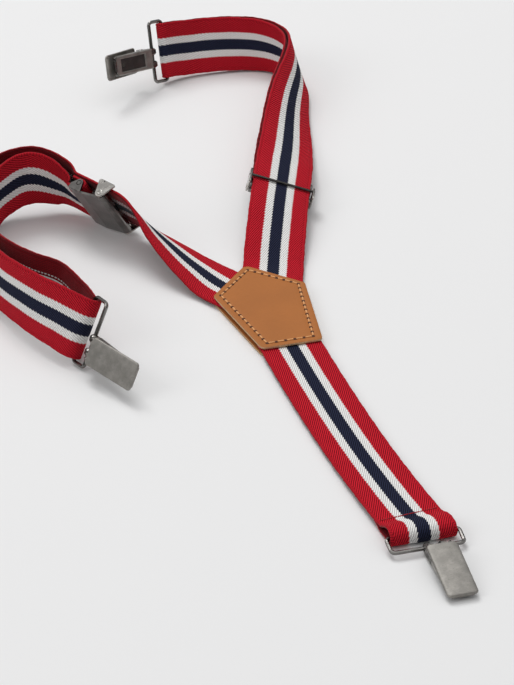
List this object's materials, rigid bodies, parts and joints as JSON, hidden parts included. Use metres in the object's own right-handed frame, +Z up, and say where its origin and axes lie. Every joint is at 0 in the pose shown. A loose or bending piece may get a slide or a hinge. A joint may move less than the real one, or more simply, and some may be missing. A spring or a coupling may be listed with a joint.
{
  "type": "suspenders",
  "caption": "Elastic Y-back suspenders with striped webbing, a leather back patch, cam-lever length adjusters and metal clips on wire rings, laid out with the straps curling.",
  "frame": {"origin": "middle of the leather patch's underside, on the surface the suspenders lie on", "axes": "+Y along the patch towards the two front straps, +Z up from the surface, +X to the right seen from above"},
  "size_m": [0.1829, 0.436, 0.0321],
  "materials": {
    "webbing": "ribbed elastic webbing striped red, white and navy",
    "leather": "smooth tan leather with cut edges",
    "thread": "twisted sewing thread",
    "brushed_metal": "brushed antique nickel plate",
    "dark_metal": "dark antique nickel plate",
    "bright_metal": "plain nickel-plated steel"
  },
  "bodies": {
    "straps": {"patch_outer": "leather", "patch_inner": "leather", "patch_thread": "thread", "back_strap": "webbing", "back_strap_thread": "thread", "left_front_strap": "webbing", "right_front_strap": "webbing", "left_bridge": "brushed_metal", "right_bridge": "brushed_metal", "left_bridge_pin": "bright_metal", "right_bridge_pin": "bright_metal"},
    "left_cam": {"left_cam_lever": "dark_metal", "left_end_bar": "dark_metal", "left_strap_end": "webbing"},
    "right_cam": {"right_cam_lever": "dark_metal", "right_end_bar": "dark_metal", "right_strap_end": "webbing"},
    "back_ring": {"back_ring": "dark_metal"},
    "back_clip": {"back_jaw_lever": "dark_metal", "back_jaw_pin": "bright_metal", "back_spring": "bright_metal"},
    "back_jaw": {"back_front_plate": "brushed_metal"},
    "left_ring": {"left_ring": "dark_metal"},
    "left_clip": {"left_jaw_lever": "dark_metal", "left_jaw_pin": "bright_metal", "left_spring": "bright_metal"},
    "left_jaw": {"left_front_plate": "brushed_metal"},
    "right_ring": {"right_ring": "dark_metal"},
    "right_clip": {"right_jaw_lever": "dark_metal", "right_jaw_pin": "bright_metal", "right_spring": "bright_metal"},
    "right_jaw": {"right_front_plate": "brushed_metal"}
  },
  "joints": [
    {"name": "left_cam_hinge", "type": "hinge", "parent": "straps", "child": "left_cam", "pos_m": [-0.04611, 0.07306, 0.01404], "axis": [-0.4809, -0.2557, 0.8387], "range_deg": [0, 70]},
    {"name": "right_cam_hinge", "type": "hinge", "parent": "straps", "child": "right_cam", "pos_m": [0.0269, 0.0781, 0.00794], "axis": [-0.8974, 0.3445, 0.2756], "range_deg": [0, 70]},
    {"name": "back_ring_hinge", "type": "hinge", "parent": "straps", "child": "back_ring", "pos_m": [0.00267, -0.17329, 0.00374], "axis": [0.9998, -0.0175, 0], "range_deg": [-60, 60]},
    {"name": "back_clip_hinge", "type": "hinge", "parent": "back_ring", "child": "back_clip", "pos_m": [0.00494, -0.1806, 0.00239], "axis": [0.9998, -0.0175, 0], "range_deg": [-40, 40]},
    {"name": "back_jaw_hinge", "type": "hinge", "parent": "back_clip", "child": "back_jaw", "pos_m": [0.00486, -0.18516, 0.00506], "axis": [-0.9998, 0.0175, 0], "range_deg": [0, 25], "stiffness_Nm_per_rad": 0.02, "springref_deg": -28.65},
    {"name": "left_ring_hinge", "type": "hinge", "parent": "straps", "child": "left_ring", "pos_m": [-0.08089, -0.01547, 0.01362], "axis": [0.4138, 0.1583, 0.8965], "range_deg": [-60, 60]},
    {"name": "left_clip_hinge", "type": "hinge", "parent": "left_ring", "child": "left_clip", "pos_m": [-0.08005, -0.02308, 0.00989], "axis": [0.4138, 0.1583, 0.8965], "range_deg": [-40, 40]},
    {"name": "left_jaw_hinge", "type": "hinge", "parent": "left_clip", "child": "left_jaw", "pos_m": [-0.08097, -0.02811, 0.0112], "axis": [-0.4138, -0.1583, -0.8965], "range_deg": [0, 25], "stiffness_Nm_per_rad": 0.02, "springref_deg": -28.65},
    {"name": "right_ring_hinge", "type": "hinge", "parent": "straps", "child": "right_ring", "pos_m": [0.01452, 0.21512, 0.01485], "axis": [-0.0189, 0.3518, 0.9359], "range_deg": [-60, 60]},
    {"name": "right_clip_hinge", "type": "hinge", "parent": "right_ring", "child": "right_clip", "pos_m": [0.00789, 0.21124, 0.01361], "axis": [-0.0189, 0.3518, 0.9359], "range_deg": [-40, 40]},
    {"name": "right_jaw_hinge", "type": "hinge", "parent": "right_clip", "child": "right_jaw", "pos_m": [0.00263, 0.21084, 0.01365], "axis": [0.0189, -0.3518, -0.9359], "range_deg": [0, 25], "stiffness_Nm_per_rad": 0.02, "springref_deg": -28.65}
  ]
}
